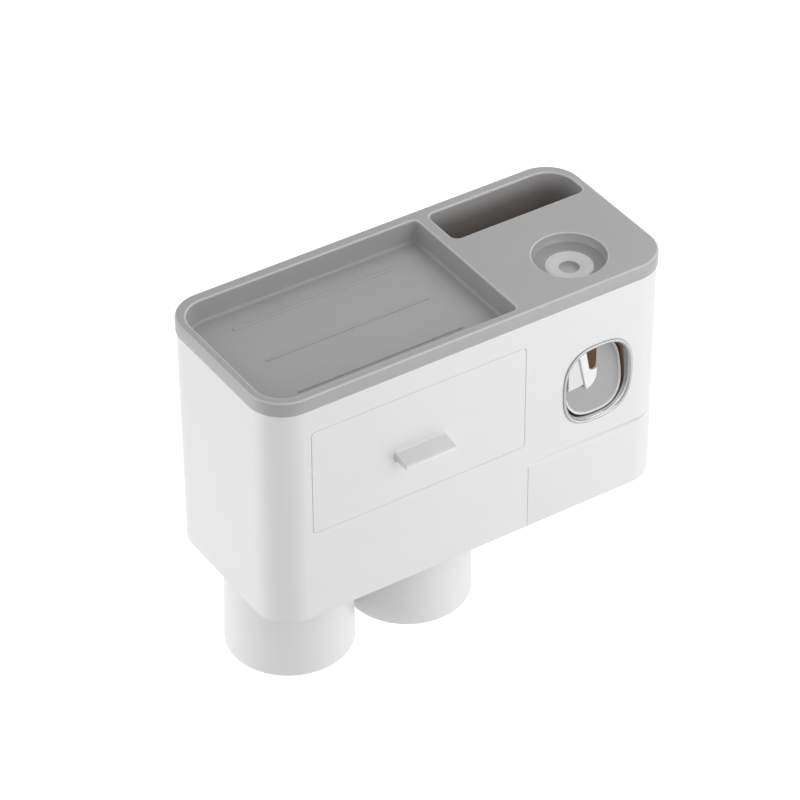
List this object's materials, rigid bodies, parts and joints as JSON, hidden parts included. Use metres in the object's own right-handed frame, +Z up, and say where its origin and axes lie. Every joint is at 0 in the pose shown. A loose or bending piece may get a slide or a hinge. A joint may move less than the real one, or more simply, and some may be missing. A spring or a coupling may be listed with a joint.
{
  "type": "wall-mounted toothbrush holder",
  "caption": "Wall-hung bathroom holder: grey tray top over a white housing with a drawer, a push-plate paste dispenser, a covered brush rack and cups that hang from magnets.",
  "frame": {"origin": "centre of the adhesive pad's rear face, on the wall, at mid-height of the housing", "axes": "+Z up, +Y into the wall, +X to the right for someone who stands in front of it"},
  "size_m": [0.23, 0.1094, 0.188],
  "materials": {
    "grey_plastic": "fine satin moulding",
    "white_plastic": "smooth moulding with a soft gloss",
    "plate_plastic": "satin moulding",
    "chrome": "polished plating on plastic",
    "steel": "drawn rod and stamped disc",
    "brown_plastic": "dark moulding",
    "silicone": "milky translucent silicone",
    "clear_plastic": "unpainted moulding",
    "magnet": "plated magnet",
    "pad_rubber": "adhesive foam"
  },
  "bodies": {
    "wall": {"wall_plate": "clear_plastic", "adhesive_pad": "pad_rubber"},
    "holder": {"body_shell": "white_plastic", "back_panel": "white_plastic", "inner_frame": "white_plastic", "top_tray": "grey_plastic", "bezel_ring": "chrome", "window_liner": "brown_plastic", "nozzle_block": "white_plastic", "outlet_valve": "brown_plastic", "pump_housing": "clear_plastic", "pump_bulb": "silicone", "inlet_valve": "silicone", "tube_grommet": "silicone", "plate_pin": "steel", "cover_hinge_rod": "steel", "brush_rack": "white_plastic", "seat_magnet_1": "magnet", "seat_magnet_2": "magnet"},
    "drawer": {"drawer": "white_plastic"},
    "push_plate": {"push_plate": "plate_plastic"},
    "cover": {"brush_cover": "white_plastic"},
    "cup_1": {"cup_1": "white_plastic", "cup_disc_1": "steel"},
    "cup_2": {"cup_2": "white_plastic", "cup_disc_2": "steel"}
  },
  "joints": [
    {"name": "holder_lift", "type": "slide", "parent": "wall", "child": "holder", "axis": [0, 0, 1], "range_m": [0, 0.01]},
    {"name": "drawer_slide", "type": "slide", "parent": "holder", "child": "drawer", "axis": [0, -1, 0], "range_m": [0, 0.07]},
    {"name": "plate_swing", "type": "hinge", "parent": "holder", "child": "push_plate", "pos_m": [0.07205, -0.0902, 0.0306], "axis": [1, 0, 0], "range_deg": [0, 14], "stiffness_Nm_per_rad": 0.2, "deforming": ["pump_bulb"]},
    {"name": "cover_flip", "type": "hinge", "parent": "holder", "child": "cover", "pos_m": [0.065, -0.0954, -0.0304], "axis": [-1, 0, 0], "range_deg": [0, 80]},
    {"name": "cup_1_pull", "type": "slide", "parent": "holder", "child": "cup_1", "axis": [0, 0, -1], "range_m": [0, 0.055]},
    {"name": "cup_2_pull", "type": "slide", "parent": "holder", "child": "cup_2", "axis": [0, 0, -1], "range_m": [0, 0.055]}
  ]
}
